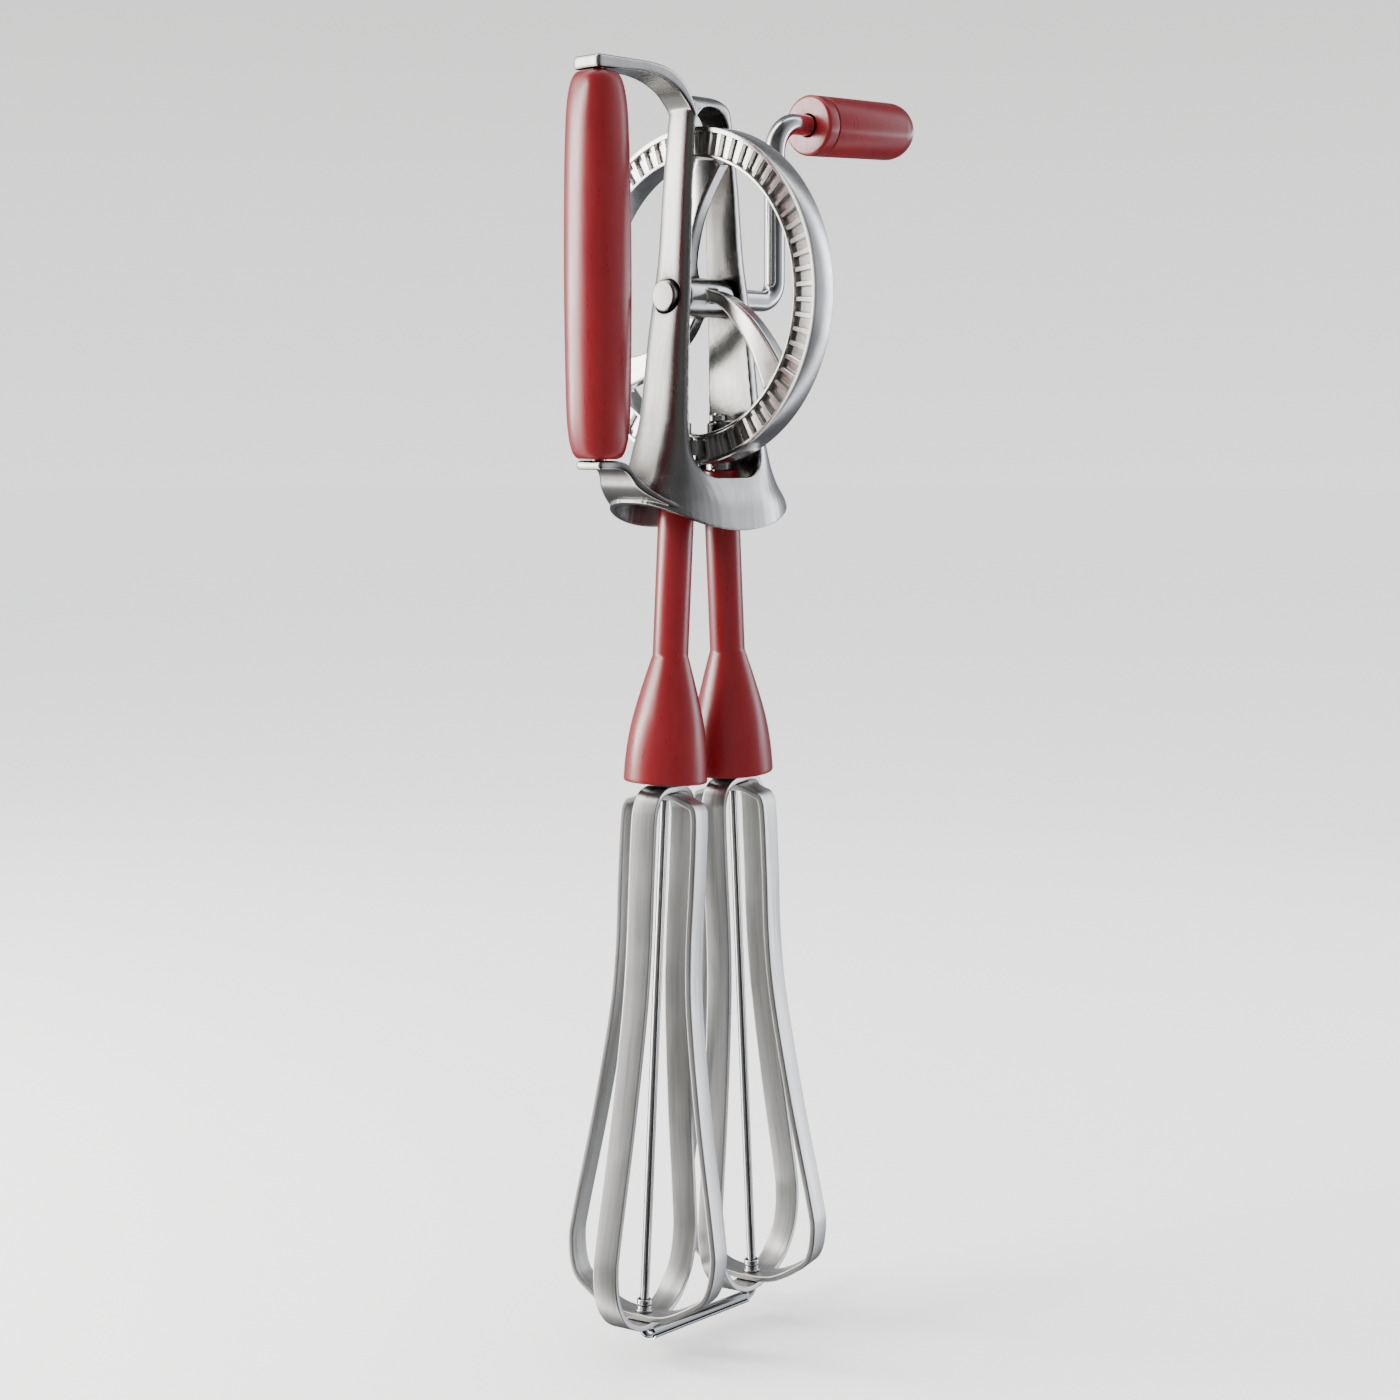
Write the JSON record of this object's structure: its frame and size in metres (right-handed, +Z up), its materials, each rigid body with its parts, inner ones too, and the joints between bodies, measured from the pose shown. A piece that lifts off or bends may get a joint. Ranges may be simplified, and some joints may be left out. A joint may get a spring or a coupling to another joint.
{
  "type": "rotary egg beater",
  "caption": "Hand-cranked rotary whisk: a toothed wheel in a cast frame turns two intermeshing blade sets on splayed spindles below a red grip.",
  "frame": {"origin": "centre of the bounding box at its lowest point, under the wire bridge between the blades", "axes": "+Z up along the beater from blades to grip, +X along the wheel's axle from the grip to the crank knob, +Y across, in the wheel's plane"},
  "size_m": [0.1237, 0.084, 0.3238],
  "materials": {
    "cast_metal": "polished casting with soft brushing",
    "wheel_metal": "polished, with dark tooth gaps",
    "rod_metal": "bright plated",
    "blade_steel": "brushed along the strip, lightly stained",
    "red_plastic": "semi-gloss red"
  },
  "bodies": {
    "frame": {"frame_casting": "cast_metal", "grip": "red_plastic", "grip_rod": "rod_metal", "spindle_wire": "rod_metal", "bridge_sleeve": "rod_metal", "stop_collar_left": "rod_metal", "thrust_washer_left": "rod_metal", "spindle_cap_left": "rod_metal", "stop_collar_right": "rod_metal", "thrust_washer_right": "rod_metal", "spindle_cap_right": "rod_metal"},
    "drive": {"drive_wheel": "wheel_metal", "crank_rod": "rod_metal", "axle_cap": "rod_metal", "hub_pin": "rod_metal", "front_hub_washer": "rod_metal", "rear_hub_washer": "rod_metal", "knob_retaining_ring": "rod_metal"},
    "knob": {"knob_body": "red_plastic", "knob_collar": "red_plastic"},
    "left_beater": {"pinion_left": "wheel_metal", "drive_tube_left": "rod_metal", "sleeve_left": "red_plastic", "outer_loop_left": "blade_steel", "inner_loop_left": "blade_steel", "blade_hub_left": "blade_steel", "blade_eyelet_left": "rod_metal"},
    "right_beater": {"pinion_right": "wheel_metal", "drive_tube_right": "rod_metal", "sleeve_right": "red_plastic", "outer_loop_right": "blade_steel", "inner_loop_right": "blade_steel", "blade_hub_right": "blade_steel", "blade_eyelet_right": "rod_metal"}
  },
  "joints": [
    {"name": "wheel_spin", "type": "hinge", "parent": "frame", "child": "drive", "pos_m": [-0.01893, 0, 0.26815], "axis": [1, 0, 0], "continuous": true},
    {"name": "knob_spin", "type": "hinge", "parent": "drive", "child": "knob", "pos_m": [0.02208, 0, 0.31445], "axis": [0.9993, 0, 0.0384], "continuous": true},
    {"name": "left_beater_spin", "type": "hinge", "parent": "frame", "child": "left_beater", "pos_m": [-0.02643, 0, 0.22965], "axis": [0.059, 0, 0.9983], "continuous": true},
    {"name": "right_beater_spin", "type": "hinge", "parent": "frame", "child": "right_beater", "pos_m": [-0.01142, 0, 0.22965], "axis": [-0.059, 0, 0.9983], "continuous": true}
  ],
  "couplings": [
    {"joint": "left_beater_spin", "follows": "wheel_spin", "ratio": 8},
    {"joint": "right_beater_spin", "follows": "wheel_spin", "ratio": -8}
  ]
}
